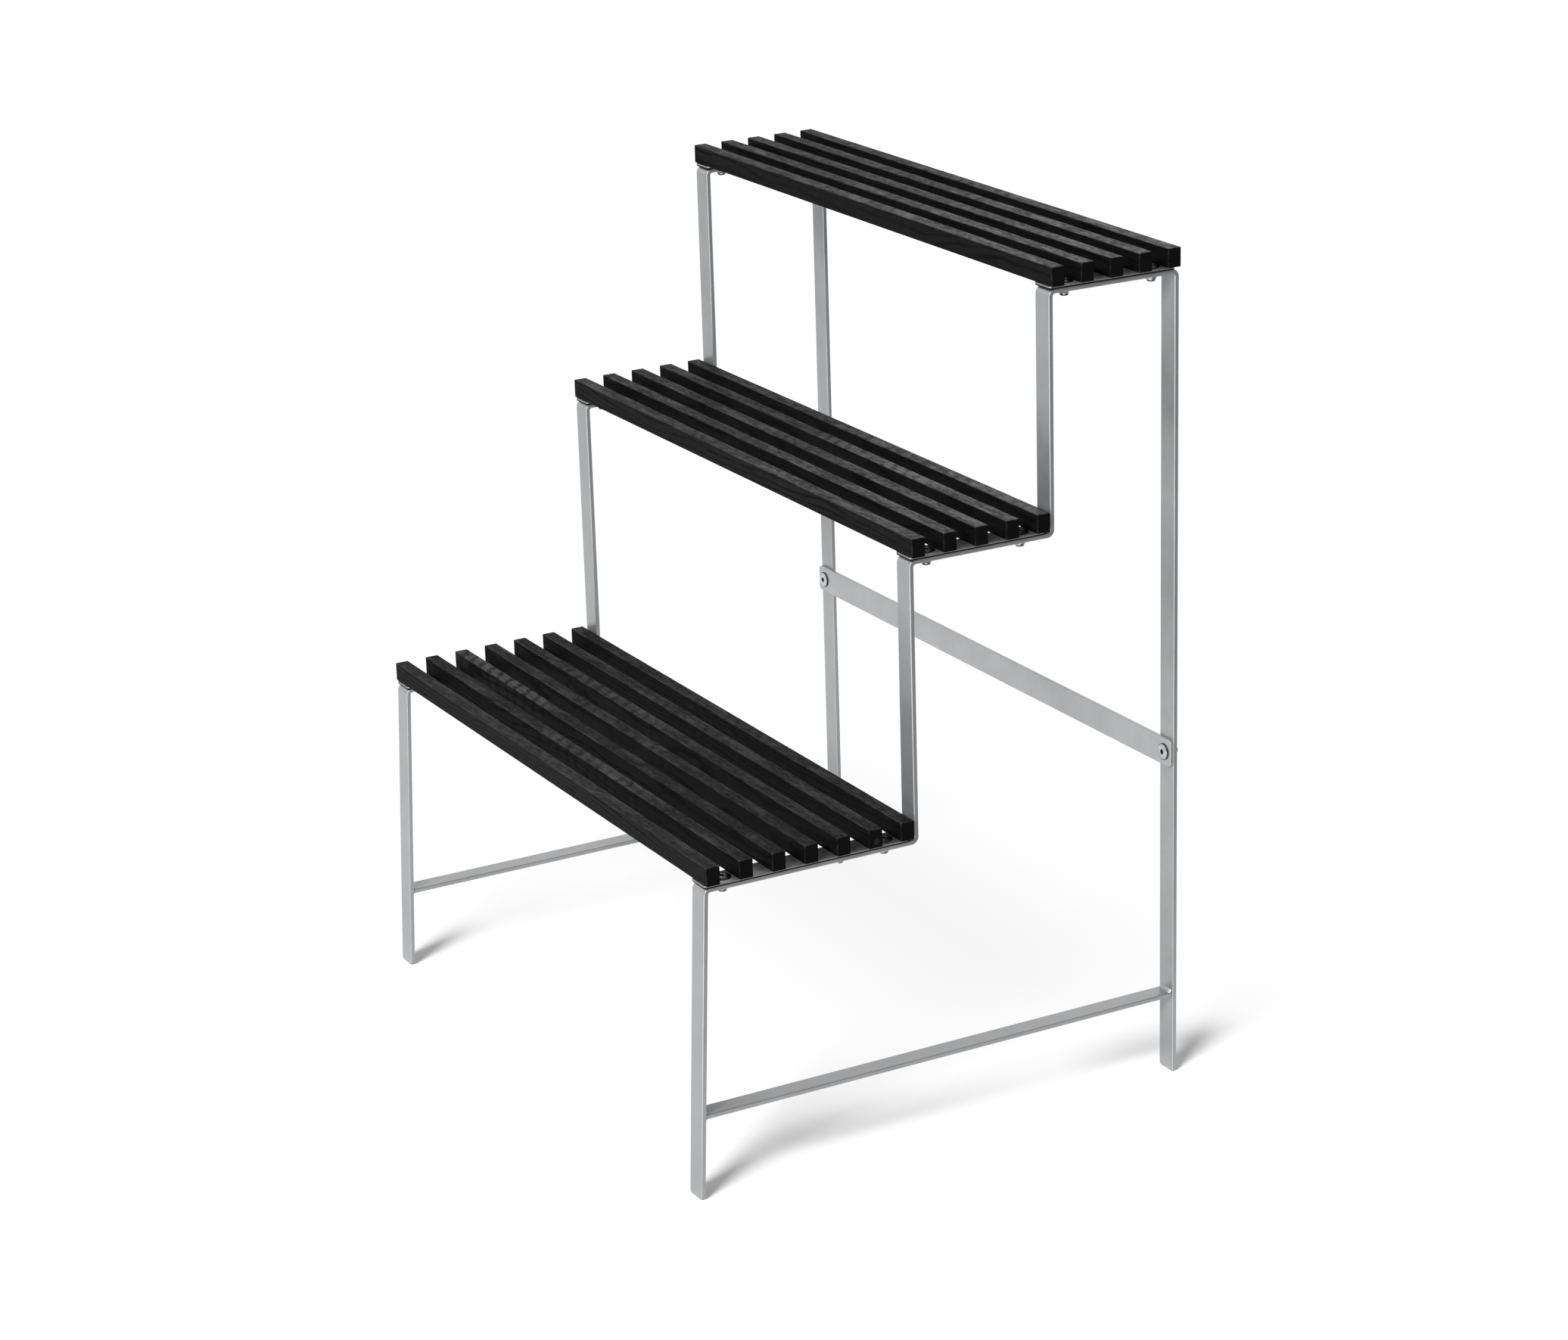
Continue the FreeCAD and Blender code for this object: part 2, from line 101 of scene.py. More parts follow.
class Finish:
    """A painted, plated or stained surface, built up from nodes over the object's own metres."""

    def __init__(self, name):
        self.material = bpy.data.materials.new(name)
        self.material.use_nodes = True
        self.tree = self.material.node_tree
        self.surface = self.tree.nodes["Principled BSDF"]
        self.place = self.add("TexCoord", output="Object")

    def add(self, kind, settings=None, inputs=None, output=0):
        node = self.tree.nodes.new("ShaderNode" + kind)
        for name, value in (settings or {}).items():
            setattr(node, name, value)
        for name, value in (inputs or {}).items():
            self.feed(node.inputs[name], value)
        return Reading(self, node.outputs[output])

    def feed(self, socket, value):
        if isinstance(value, Reading):
            self.tree.links.new(value.socket, socket)
        else:
            socket.default_value = value

    def set(self, **values):
        """Sets or links sockets of the shader, with underscores for the spaces in their names."""
        for name, value in values.items():
            self.feed(self.surface.inputs[name.replace("_", " ")], value)

    def stretched(self, scale, shift=(0.0, 0.0, 0.0)):
        """The place on the object, moved and then scaled by axis."""
        moved = self.add("VectorMath", {"operation": "ADD"}, {0: self.place, 1: shift})
        return self.add("VectorMath", {"operation": "MULTIPLY"}, {0: moved, 1: scale})

    def part(self, vector, axis):
        """One part of a vector: 0 for X, 1 for Y, 2 for Z."""
        return self.add("SeparateXYZ", {}, {0: vector}, axis)

    def length(self, vector, kept):
        """Length of a vector along the axes that are kept with a 1."""
        flat = self.add("VectorMath", {"operation": "MULTIPLY"}, {0: vector, 1: kept})
        return self.add("VectorMath", {"operation": "LENGTH"}, {0: flat}, "Value")

    def distance(self, spot):
        """How far the surface is from a spot of the object."""
        return self.add("VectorMath", {"operation": "DISTANCE"}, {0: self.place, 1: spot}, "Value")

    def noise(self, place, scale, detail=2.0, roughness=0.5):
        inputs = {"Vector": place, "Scale": scale, "Detail": detail, "Roughness": roughness}
        return self.add("TexNoise", {}, inputs, "Fac")

    def between(self, value, low, high):
        """0 below low, 1 above high and smooth in the middle."""
        inputs = {"Value": value, "From Min": low, "From Max": high}
        return self.add("MapRange", {"interpolation_type": "SMOOTHSTEP"}, inputs)

    def blend(self, factor, first, second):
        mix = {0: factor, 6: first, 7: second}
        return self.add("Mix", {"data_type": "RGBA"}, mix, 2)

    def bump(self, height, distance, strength):
        return self.add("Bump", {}, {"Strength": strength, "Distance": distance, "Height": height})


def give(finish, names):
    """Puts the finish on CAD nodes as the only material of each."""
    for name in names:
        mesh = nodes[name].data
        mesh.materials.clear()
        mesh.materials.append(finish.material)


def lacquer(name, painted_paler=1.0, highlight_strength=0.5):
    """Satin silver-grey lacquer over bar with a faint unevenness from the mill and a painted highlight on
    upright edges.
    """
    paint = Finish(name)
    flake = paint.noise(paint.place, 1500.0, 1.0)
    cloud = paint.noise(paint.place, 22.0, 3.0, 0.6)
    peel = paint.noise(paint.place, 380.0, 2.0, 0.5)
    rub = paint.noise(paint.stretched((60.0, 60.0, 9.0)), 1.0, 4.0, 0.65)
    dust = paint.between(paint.noise(paint.place, 240.0, 4.0, 0.7), 0.70, 0.78)
    tone = paint.between(0.94 * cloud + 0.06 * flake, 0.3, 0.7)
    # A factor above 1 paints the whole lacquer paler, as painted light.
    dark = [level * painted_paler for level in (0.38, 0.386, 0.395)] + [1]
    light = [level * painted_paler for level in (0.42, 0.426, 0.435)] + [1]
    highlight_silver = (0.74, 0.745, 0.75, 1)
    dusty = (0.28, 0.28, 0.28, 1)
    facing = paint.add("NewGeometry", output="Normal")
    sideways = abs(paint.part(facing, 0))
    upward = abs(paint.part(facing, 2))
    # Painted highlight: the rolled upright edges are painted pale silver and made a touch glossier.
    edge = paint.between(sideways, 0.22, 0.45) * (1 - paint.between(sideways, 0.84, 0.96))
    painted_edge_highlight = highlight_strength * edge * (1 - paint.between(upward, 0.15, 0.40))
    silver_grey = paint.blend(painted_edge_highlight, paint.blend(tone, dark, light), highlight_silver)
    paint.set(
        Base_Color=paint.blend(dust * 0.15, silver_grey, dusty),
        Metallic=0.62,
        Roughness=0.28 + 0.12 * cloud + 0.05 * rub + 0.05 * dust - 0.06 * painted_edge_highlight,
        Normal=paint.bump(peel * 0.15 + rub * 0.85, 0.000010, 0.5),
    )
    return paint


silver = lacquer("satin silver lacquer")
give(silver, ["side_frame_left", "side_frame_right"])


# Tie bars
# A narrower flat bar of the same steel runs low between the legs of each side. A fillet weld above
# and below holds it at either leg, and it is lacquered together with the frame.
give(silver, ["tie_bar_left", "tie_bar_right"])

bar_thickness = 0.005
front_face = -0.27575
rear_face = 0.28525
bend_height = 0.3325
front_rake = 0.016
bar_centre = 0.3575
tie_top = 0.092
tie_bottom = 0.087
weld_reach = 0.0043
weld_length = 0.0205
weld_sink = 0.0006
weld_end = 0.45
weld_taper = 6.0
weld_hollow = 0.31
weld_lumps = 0.07
ripple_pitch = 0.0021
ripple_rise = 0.00022
ripple_bow = 0.42
ripple_lean = 0.7


def front_leg_back(z):
    """Where the back of the leaning front leg is at that height."""
    return front_face + bar_thickness - front_rake * (bend_height - z) / bend_height


def rear_leg_front(z):
    """Where the front of the upright rear leg is, the same at every height."""
    return rear_face - bar_thickness


def join_rings(mesh, rings):
    """Faces from each ring of points to the next, returned band by band."""
    bands = []
    for first, second in zip(rings, rings[1:]):
        band = []
        for k in range(len(first)):
            m = (k + 1) % len(first)
            band.append(mesh.faces.new((first[k], first[m], second[m], second[k])))
        bands.append(band)
    return bands


def close_ends(mesh, rings):
    mesh.faces.new(rings[0])
    mesh.faces.new(rings[-1])


def weld_bead(mesh, centre_x, leg_face, away, seat, up):
    """One hand-laid fillet: a hollow curve from leg to bar, with the puddle's ripples along it."""
    stations = 64
    around = 9
    rings = []
    for i in range(stations + 1):
        along = i / stations
        x = centre_x + (along - 0.5) * weld_length
        end_fade = min(1.0, weld_taper * along, weld_taper * (1.0 - along))
        reach = weld_reach * (weld_end + (1.0 - weld_end) * math.sin(end_fade * math.pi / 2))
        reach *= 1.0 + weld_lumps * noise.noise(Vector((x * 350, seat * 90, leg_face(seat) * 40)))
        section = [(-weld_sink, -weld_sink)]
        for j in range(around + 1):
            turn = j / around * math.pi / 2
            hollow = 1.0 - weld_hollow * math.sin(2 * turn) ** 0.9
            wave = math.sin(2 * math.pi * (x / ripple_pitch + ripple_bow * math.sin(2 * turn)))
            lift = ripple_rise * wave * math.sin(2 * turn) * end_fade
            out = reach * math.cos(turn) * hollow + lift * ripple_lean
            rise = reach * math.sin(turn) * hollow + lift * ripple_lean
            section.append((out if j < around else -weld_sink, rise if j > 0 else -weld_sink))
        ring = []
        for out, rise in section:
            z = seat + up * rise
            ring.append(mesh.verts.new((x, leg_face(z) + away * out, z)))
        rings.append(ring)
    join_rings(mesh, rings)
    close_ends(mesh, rings)


def piece(name, mesh, finish):
    """Makes a piece of the stand from a finished bmesh."""
    bmesh.ops.recalc_face_normals(mesh, faces=mesh.faces)
    data = bpy.data.meshes.new(name)
    mesh.to_mesh(data)
    mesh.free()
    data.shade_smooth()
    data.materials.append(finish.material)
    made = bpy.data.objects.new(name, data)
    bpy.context.collection.objects.link(made)
    return made


for side, centre_x in (("left", -bar_centre), ("right", bar_centre)):
    beads = bmesh.new()
    for leg_face, away in ((front_leg_back, 1), (rear_leg_front, -1)):
        weld_bead(beads, centre_x, leg_face, away, tie_top, 1)
        weld_bead(beads, centre_x, leg_face, away, tie_bottom, -1)
    welds = piece(f"weld_beads_{side}", beads, silver)
    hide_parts(f"tie_welds_{side}")
    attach(welds, "root")


# Cross bar
# One flat bar on edge, rounded at its ends, is bolted across the fronts of the two rear legs and
# keeps the sides square to each other. Its lacquer is painted a shade paler than the frame's, as painted
# light.
give(lacquer("lighter silver lacquer", 1.16, 0.3), ["back_cross_bar"])


# End plates
# Two thicknesses lie between bar and slats at each end of a shelf: a slim strip painted black, as painted
# shade for the shadow in the gap under the plate, and on it a plated steel strip 1.6 mm thick.
def plating():
    """Plated strip, brushed along its length, front to back, and dulled by handling."""
    plate = Finish("plated strip")
    brush = plate.noise(plate.stretched((1600.0, 20.0, 1600.0)), 1.0, 3.0, 0.6)
    cloud = plate.noise(plate.place, 45.0, 3.0, 0.6)
    smear = plate.noise(plate.place, 160.0, 4.0, 0.65)
    grey = plate.blend(brush, (0.29, 0.29, 0.29, 1), (0.41, 0.41, 0.408, 1))
    handled_grey = (0.20, 0.198, 0.195, 1)
    plate.set(
        Base_Color=plate.blend(plate.between(smear, 0.5, 0.75) * 0.5, grey, handled_grey),
        Metallic=0.75,
        Roughness=0.27 + 0.20 * cloud,
        Normal=plate.bump(brush, 0.00003, 0.5),
    )
    return plate


def shade_strip():
    """Matt black strip, a little dusty, as painted shade for the shadow in the gap under an end plate."""
    strip = Finish("black strip")
    dust = strip.noise(strip.place, 300.0, 4.0, 0.7)
    fibre = strip.noise(strip.stretched((900.0, 60.0, 900.0)), 1.0, 2.0)
    shade_black = (0.004, 0.004, 0.004, 1)
    dusty_black = (0.02, 0.02, 0.02, 1)
    strip.set(
        Base_Color=strip.blend(strip.between(dust, 0.5, 0.8), shade_black, dusty_black),
        Roughness=0.7 + 0.2 * dust,
        Specular_IOR_Level=0.2,
        Normal=strip.bump(fibre, 0.00004, 0.5),
    )
    return strip


plated = plating()
black = shade_strip()
plate_corner = 0.004
plate_ease = 0.0005
plate_crease = math.radians(40)
strip_thickness = 0.0014
strip_inset = 0.0004
strip_ease = 0.0001


def slab(low, high, corner, ease):
    """A flat bar or strip with rounded corners and edges eased all round."""
    mesh = bmesh.new()
    steps = 8
    part = ease * 0.3
    layers = [(ease, low.z), (part, low.z + part), (0.0, low.z + ease)]
    layers += [(0.0, high.z - ease), (part, high.z - part), (ease, high.z)]
    quarters = [(high.x, high.y, 0), (low.x, high.y, 1), (low.x, low.y, 2), (high.x, low.y, 3)]
    rings = []
    for inset, z in layers:
        out = corner - inset
        ring = []
        for corner_x, corner_y, quarter in quarters:
            centre_x = corner_x - math.copysign(corner, corner_x - (low.x + high.x) / 2)
            centre_y = corner_y - math.copysign(corner, corner_y - (low.y + high.y) / 2)
            for k in range(steps + 1):
                angle = (quarter + k / steps) * math.pi / 2
                x = centre_x + out * math.cos(angle)
                y = centre_y + out * math.sin(angle)
                ring.append(mesh.verts.new((x, y, z)))
        rings.append(ring)
    join_rings(mesh, rings)
    close_ends(mesh, rings)
    return mesh


for name in sorted(n for n in nodes if n.startswith("end_plate")):
    low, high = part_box(name)
    rise = Vector((0, 0, strip_thickness))
    plate = piece(name + "_strip", slab(low + rise, high, plate_corner, plate_ease), plated)
    inset = Vector((strip_inset, strip_inset, 0))
    top = Vector((high.x, high.y, low.z + strip_thickness))
    strip = slab(low + inset, top - inset, plate_corner - strip_inset, strip_ease)
    # Painted shade: the strip under each plate stands for the shadow in the gap there.
    painted_shade_strip = piece(name + "_liner", strip, black)
    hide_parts(name)
    for made in (plate, painted_shade_strip):
        made.data.set_sharp_from_angle(angle=plate_crease)
        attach(made, "root")


# Slats
# Planed bars of ash, 15 x 20 mm, stained black so that the open grain still shows, with eased edges
# that are worn a touch paler and carry a painted highlight along the upper and front edges. They lie
# across the two end plates of their shelf.
ring_width = 0.0031
curls_per_metre = 43.0
curl_slant = 0.72
edge_wear = 0.0012
knot_slat = "slat_lower_6"
knot_back = 0.0085
knot_up = 0.0065


def stained_ash(name, seed, oil, painted_shading):
    """Black-stained ash with its grain along X, each slat from another place in the board.

    The oil has been wiped on more fully towards the right end. Its weight at both ends is given.
    """
    deep_black = (0.0020, 0.0020, 0.0021, 1)
    thin_stain = (0.0680, 0.0675, 0.0680, 1)
    early_black = (0.0022, 0.0022, 0.0022, 1)
    pore_black = (0.0015, 0.0015, 0.0015, 1)
    end_grain = (0.0062, 0.0060, 0.0060, 1)
    worn_and_highlit_grey = (0.085, 0.084, 0.083, 1)
    dust_grey = (0.20, 0.20, 0.19, 1)
    knot_brown = (0.040, 0.027, 0.019, 1)
    wood = Finish(f"stained ash {name}")
    low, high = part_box(name)
    middle = (low + high) / 2
    half = (high - low) / 2
    board = Vector((seed * 2.37, seed * 0.31, seed * 0.17))
    pith = Vector((0.0, 0.034 + 0.009 * (seed % 5), 0.007 * (seed % 7 - 3)))

    def grain(scale, detail=2.0, roughness=0.5):
        return wood.noise(wood.stretched(scale, board), 1.0, detail, roughness)

    offsets = [wood.part(wood.place, axis) - middle[axis] for axis in range(3)]
    end, side, top = [abs(offsets[axis]) - half[axis] for axis in range(3)]
    along = wood.part(wood.stretched((1.0, 1.0, 1.0), board), 0)
    upper = wood.between(offsets[2], -0.004, 0.006)
    front = 1 - wood.between(offsets[1], -0.003, 0.005)
    on_top = wood.between(top, -0.0008, -0.0001) * upper
    sawn = wood.between(end, -0.00035, -0.0001)

    from_pith = wood.length(wood.stretched((1.0, 1.0, 1.0), pith - middle), (0.0, 1.0, 1.0))
    bend = grain((2.4, 9.0, 9.0))
    wander = grain((15.0, 60.0, 60.0))
    season = ((from_pith + 0.026 * bend + 0.0030 * wander) * (1 / ring_width)).fraction()
    early = 1 - wood.between(season, 0.10, 0.50)
    marked = wood.between(grain((5.0, 35.0, 35.0)), 0.38, 0.60)

    pore = wood.between(grain((46.0, 1400.0, 1400.0), 2.0, 0.65) + 0.20 * early, 0.57, 0.70)
    hair = wood.between(grain((24.0, 2600.0, 2600.0), 2.0, 0.7), 0.40, 0.68)
    patch = wood.between(grain((18.0, 90.0, 90.0), 4.0, 0.62), 0.47, 0.68)
    mottle = wood.between(grain((110.0, 240.0, 240.0), 3.0, 0.6), 0.36, 0.68)
    swirl = grain((24.0, 90.0, 90.0), 3.0, 0.6)
    ragged = grain((110.0, 700.0, 700.0), 3.0, 0.7)
    bars = (along + offsets[1] * curl_slant + swirl * 0.030) * curls_per_metre
    wave = bars.fraction() + 0.16 * ragged
    strength, curl_place = curls.get(name, (0.2, 0.0))
    from_curl = abs(offsets[0] - curl_place)
    curled = (1 - wood.between(from_curl, 0.09, 0.16)) * wood.between(swirl, 0.30, 0.50)
    shimmer = strength * curled * wood.between(wave, 0.12, 0.26) * (1 - wood.between(wave, 0.74, 0.92))

    worn = wood.between(grain((26.0, 160.0, 160.0), 3.0, 0.6), 0.40, 0.66)
    # Partly wear and partly painted highlight: the upper and front edges are painted paler.
    rubbed_and_highlit = 0.0
    for first, second, here in ((side, top, upper), (end, top, upper * 0.8), (end, side, front * 0.7)):
        seam = first.at_most(second) + edge_wear * ragged
        rubbed_and_highlit = rubbed_and_highlit + wood.between(seam, -0.0008, 0.0004) * here
    rubbed_and_highlit = rubbed_and_highlit * (0.15 + 0.85 * worn)

    cells = wood.add("TexVoronoi", {}, {"Vector": wood.place, "Scale": 75.0})
    speck = (1 - wood.between(cells, 0.012, 0.028)) * wood.between(ragged, 0.52, 0.60)

    # Painted light as well as grain: the tops are painted paler than the other faces, and the patches,
    # curl and mottle show mostly on the tops as painted sheen.
    figure_and_sheen = (0.34 * patch + 0.70 * shimmer + 0.14 * mottle) * (0.06 + 0.94 * on_top)
    tone = 0.01 + painted_shading + 0.03 * on_top + 0.05 * hair + figure_and_sheen + 0.02 * (1 - early) * marked
    stain = wood.blend(tone, deep_black, thin_stain)
    stain = wood.blend(early * marked * 0.20, stain, early_black)
    stain = wood.blend(pore * (0.18 + 0.27 * marked), stain, pore_black)
    stain = wood.blend(sawn * 0.94, stain, end_grain)
    stain = wood.blend(rubbed_and_highlit * 0.55, stain, worn_and_highlit_grey)
    stain = wood.blend(speck * 0.7, stain, dust_grey)
    if name == knot_slat:
        from_knot = wood.distance((high.x, low.y + knot_back, low.z + knot_up))
        knot = 1 - wood.between(from_knot + edge_wear * ragged, 0.0028, 0.0048)
        stain = wood.blend(knot * 0.7, stain, knot_brown)
    open_grain = 0.08 * season * marked - pore * (0.25 + 0.35 * marked)
    height = 0.24 * hair + open_grain * (1 - sawn) + 0.3 * ragged * sawn
    oil_left, oil_right = oil
    sheen = oil_left + (oil_right - oil_left) * wood.between(offsets[0], -0.08, 0.34)
    shine = 0.10 + 0.50 * patch + 0.60 * mottle + 0.50 * hair + 0.90 * shimmer
    wood.set(
        Base_Color=stain,
        Roughness=0.56 + 0.16 * pore + 0.12 * sawn - 0.10 * shimmer,
        Specular_IOR_Level=0.02,
        Coat_Weight=(sheen * shine).at_most(1.0) * on_top * (1 - 0.35 * pore),
        Coat_Roughness=0.38,
        Normal=wood.bump(height, 0.00022, 0.7),
    )
    return wood


oiled = {"lower": (0.15, 0.24), "middle": (0.28, 1.10), "upper": (0.36, 0.87)}
# The front slat of each shelf is painted paler all over, as painted light.
front_slat_painted_shading = {"lower": 0.16, "middle": 0.12, "upper": 0.08}
# How strong the curl is in a slat's figure, and where along the slat.
curls = {
    "slat_lower_2": (0.40, 0.05),
    "slat_lower_3": (0.85, -0.27),
    "slat_lower_4": (0.25, -0.05),
    "slat_lower_5": (0.40, -0.12),
    "slat_middle_4": (0.45, 0.10),
}
for seed, name in enumerate(sorted(n for n in nodes if n.startswith("slat_"))):
    shelf, place = name.split("_")[1:]
    painted_shading = front_slat_painted_shading[shelf] if place == "1" else 0.0
    give(stained_ash(name, seed, oiled[shelf], painted_shading), [name])


# Bolts and nuts
# Connector bolts with a broad bevelled head and a small hex socket, 6 mm thick. Twelve drop through
# end plate and bar between the slats and two hold the cross bar, each with a lock nut. Bright zinc.
def zinc(name, levels, dark_rim_from, polish):
    """Zinc plating, with painted shade in the socket and a painted dark rim towards the edge of a head.
    """
    bright = Finish(name)
    cloud = bright.noise(bright.place, 160.0, 3.0, 0.6)
    turned = bright.noise(bright.place, 1500.0, 2.0)
    radius = bright.length(bright.place, (1.0, 1.0, 0.0))
    # Painted shade and dark reflection: the outer bevel and rim of a head are painted near black.
    painted_dark_rim = bright.between(radius, dark_rim_from, dark_rim_from + 0.0006)
    height = bright.part(bright.place, 2)
    # Painted shade: the floor of the hex socket is painted near black.
    socket = (1 - bright.between(radius, 0.0027, 0.0031)) * bright.between(height, 0.0, 0.0004)
    dark, light = levels
    dark_rim_black = (0.030, 0.030, 0.030, 1)
    socket_shade_black = (0.012, 0.012, 0.012, 1)
    grey = bright.blend(cloud, (dark, dark, dark * 1.02, 1), (light, light, light * 0.99, 1))
    grey = bright.blend(painted_dark_rim * (0.6 + 0.6 * cloud), grey, dark_rim_black)
    bright.set(
        Base_Color=bright.blend(socket * 0.9, grey, socket_shade_black),
        Metallic=1.0,
        Roughness=polish + 0.14 * cloud + 0.06 * painted_dark_rim,
        Normal=bright.bump(turned, 0.00002, 0.4),
    )
    return bright


# The bolts between the slats get a darker copy of the zinc and a wider dark rim, both painted shade.
shelf_zinc = zinc("handled zinc", (0.34, 0.50), 0.0060, 0.14)
cross_zinc = zinc("bright zinc", (0.44, 0.64), 0.0078, 0.10)

head_radius = 0.009
head_height = 0.0024
head_bevel = 0.0014
head_slope = 0.0031
head_swell = 0.0002
rim_soft = 0.00022
socket_width = 0.004
socket_depth = 0.0016
socket_taper = 0.97
drill_depth = 0.0005
countersink_radius = 0.0030
countersink_depth = 0.0005
shank_radius = 0.003
thread_pitch = 0.001
thread_depth = 0.00058
threaded = 0.0085
tip_chamfer = 0.0006
centre_mark = 0.0002
bolt_crease = math.radians(28)
bolt_turn = 0.7


def hexagon(angle, half_width):
    """Radius at that angle of a hexagon that is twice half_width across its flats."""
    return half_width / math.cos((angle + math.pi / 6) % (math.pi / 3) - math.pi / 6)


def lathe_rings(mesh, profile, segments):
    """Rings of points round Z, each with a radius for every angle and one height."""
    rings = []
    for radius, z in profile:
        ring = []
        for k in range(segments):
            angle = 2 * math.pi * k / segments
            x = radius(angle) * math.cos(angle)
            y = radius(angle) * math.sin(angle)
            ring.append(mesh.verts.new((x, y, z)))
        rings.append(ring)
    return rings


def bolt_profile(length):
    """Radius and height of each ring from the floor of the socket round the head to the tip."""
    def socket(angle):
        return hexagon(angle, socket_width / 2)

    def thread(angle, z):
        turn = (z / thread_pitch - angle / (2 * math.pi)) % 1.0
        groove = min(1.0, 1.2 * (1.0 - abs(2.0 * turn - 1.0)))
        run_out = min(1.0, (threaded - (z + length)) / thread_pitch)
        radius = shank_radius - thread_depth * groove * max(0.0, run_out)
        return min(radius, shank_radius - tip_chamfer + (z + length))

    flat = head_radius - head_slope
    rim_low = head_height - head_bevel
    profile = [
        (lambda a: centre_mark, head_height - socket_depth - drill_depth),
        (lambda a: socket(a) * socket_taper, head_height - socket_depth),
        (socket, head_height - countersink_depth),
        (lambda a: countersink_radius, head_height),
    ]
    head = [(flat - rim_soft, head_height)]
    bevel_steps = 7
    for k in range(1, bevel_steps):
        across = k / bevel_steps
        swell = head_swell * math.sin(math.pi * across)
        radius = flat + head_slope * across + 0.4 * swell
        head.append((radius, head_height - head_bevel * across + 0.9 * swell))
    head += [
        (head_radius - rim_soft * 0.3, rim_low + rim_soft * 0.4),
        (head_radius, rim_low - rim_soft * 0.4),
        (head_radius, rim_soft),
        (head_radius - rim_soft, 0.0),
        (shank_radius, 0.0),
    ]
    for radius, z in head:
        profile.append((lambda a, r=radius: r, z))
    rings_per_turn = 10
    steps = int(threaded / thread_pitch * rings_per_turn)
    for i in range(steps + 1):
        z = threaded * (1 - i / steps) - length
        profile.append((lambda a, z=z: thread(a, z), z))
    profile.append((lambda a: centre_mark, -length))
    return profile


def bolt_mesh(length):
    """A whole bolt along Z with its seat at zero, its thread a true helix."""
    mesh = bmesh.new()
    rings = lathe_rings(mesh, bolt_profile(length), 36)
    join_rings(mesh, rings)
    close_ends(mesh, rings)
    return mesh


for number, name in enumerate(sorted(n for n in nodes if "_bolt_" in n)):
    low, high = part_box(name)
    centre = (low + high) / 2
    lying = name.startswith("cross")
    if lying:
        length = high.y - low.y - head_height
        seat = Vector((centre.x, low.y + head_height, centre.z))
        stand = Matrix.Rotation(math.pi / 2, 4, "X")
    else:
        length = high.z - low.z - head_height
        seat = Vector((centre.x, centre.y, high.z - head_height))
        stand = Matrix.Identity(4)
    bolt = piece(name + "_threaded", bolt_mesh(length), cross_zinc if lying else shelf_zinc)
    bolt.data.set_sharp_from_angle(angle=bolt_crease)
    bolt.matrix_world = Matrix.Translation(seat) @ stand @ Matrix.Rotation(number * bolt_turn, 4, "Z")
    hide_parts(name)
    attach(bolt, "root")


nut_zinc = zinc("dull zinc", (0.28, 0.44), 0.1, 0.20)


def nylon():
    """Black nylon ring in the mouth of a lock nut."""
    ring = Finish("nylon ring")
    haze = ring.noise(ring.place, 900.0, 3.0)
    ring.set(
        Base_Color=ring.blend(haze, (0.012, 0.012, 0.012, 1), (0.030, 0.030, 0.030, 1)),
        Roughness=0.24 + 0.2 * haze,
        Normal=ring.bump(haze, 0.00002, 0.4),
    )
    return ring


nut_flat = 0.005
nut_seat_circle = 0.00485
nut_body = 0.0036
nut_middle = 0.0017
chamfer_slope = 1.73
collar_radius = 0.00485
collar_end = 0.0064
collar_lip = 0.00015
collar_turn = 0.0001
ring_start = 0.0049
ring_gap = 0.0003
ring_round = 0.0012
nut_bore = 0.00305
bore_chamfer = 0.0002
nut_crease = math.radians(25)
nut_turn = 0.5


def lock_nut_mesh():
    """A hex lock nut below z = 0: chamfered hexagon, a short collar and a rounded nylon ring in it."""
    def body(angle, z):
        from_end = min(-z, nut_body + z)
        return min(hexagon(angle, nut_flat), nut_seat_circle + chamfer_slope * max(0.0, from_end))

    profile = [(lambda a: nut_bore, 0.0)]
    chamfered = (0.0, 0.0002, 0.0004, 0.00054)
    for level in list(chamfered) + [nut_middle] + [nut_body - part for part in reversed(chamfered)]:
        profile.append((lambda a, z=-level: body(a, z), -level))
    profile.append((lambda a: collar_radius, -(ring_start - collar_turn)))
    profile.append((lambda a: collar_radius - collar_lip, -ring_start))
    nylon_from = len(profile) - 1
    round_steps = 6
    for k in range(round_steps + 1):
        angle = k / round_steps * math.pi / 2
        radius = collar_radius - ring_gap - ring_round * (1 - math.cos(angle))
        profile.append((lambda a, r=radius: r, -(collar_end - ring_round * (1 - math.sin(angle)))))
    profile.append((lambda a: nut_bore + bore_chamfer, -collar_end))
    nylon_to = len(profile) - 1
    profile.append((lambda a: nut_bore, -(collar_end - bore_chamfer)))
    mesh = bmesh.new()
    rings = lathe_rings(mesh, profile, 48)
    for level, band in enumerate(join_rings(mesh, rings + rings[:1])):
        for face in band:
            face.material_index = 1 if nylon_from <= level <= nylon_to else 0
    return mesh


black_ring = nylon()
for number, name in enumerate(sorted(n for n in nodes if "_nut_" in n)):
    low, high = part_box(name)
    centre = (low + high) / 2
    if name.startswith("cross"):
        seat = Vector((centre.x, low.y, centre.z))
        stand = Matrix.Rotation(math.pi / 2, 4, "X")
    else:
        seat = Vector((centre.x, centre.y, high.z))
        stand = Matrix.Identity(4)
    nut = piece(name + "_locking", lock_nut_mesh(), nut_zinc)
    nut.data.materials.append(black_ring.material)
    nut.data.set_sharp_from_angle(angle=nut_crease)
    nut.matrix_world = Matrix.Translation(seat) @ stand @ Matrix.Rotation(number * nut_turn, 4, "Z")
    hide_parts(name)
    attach(nut, "root")


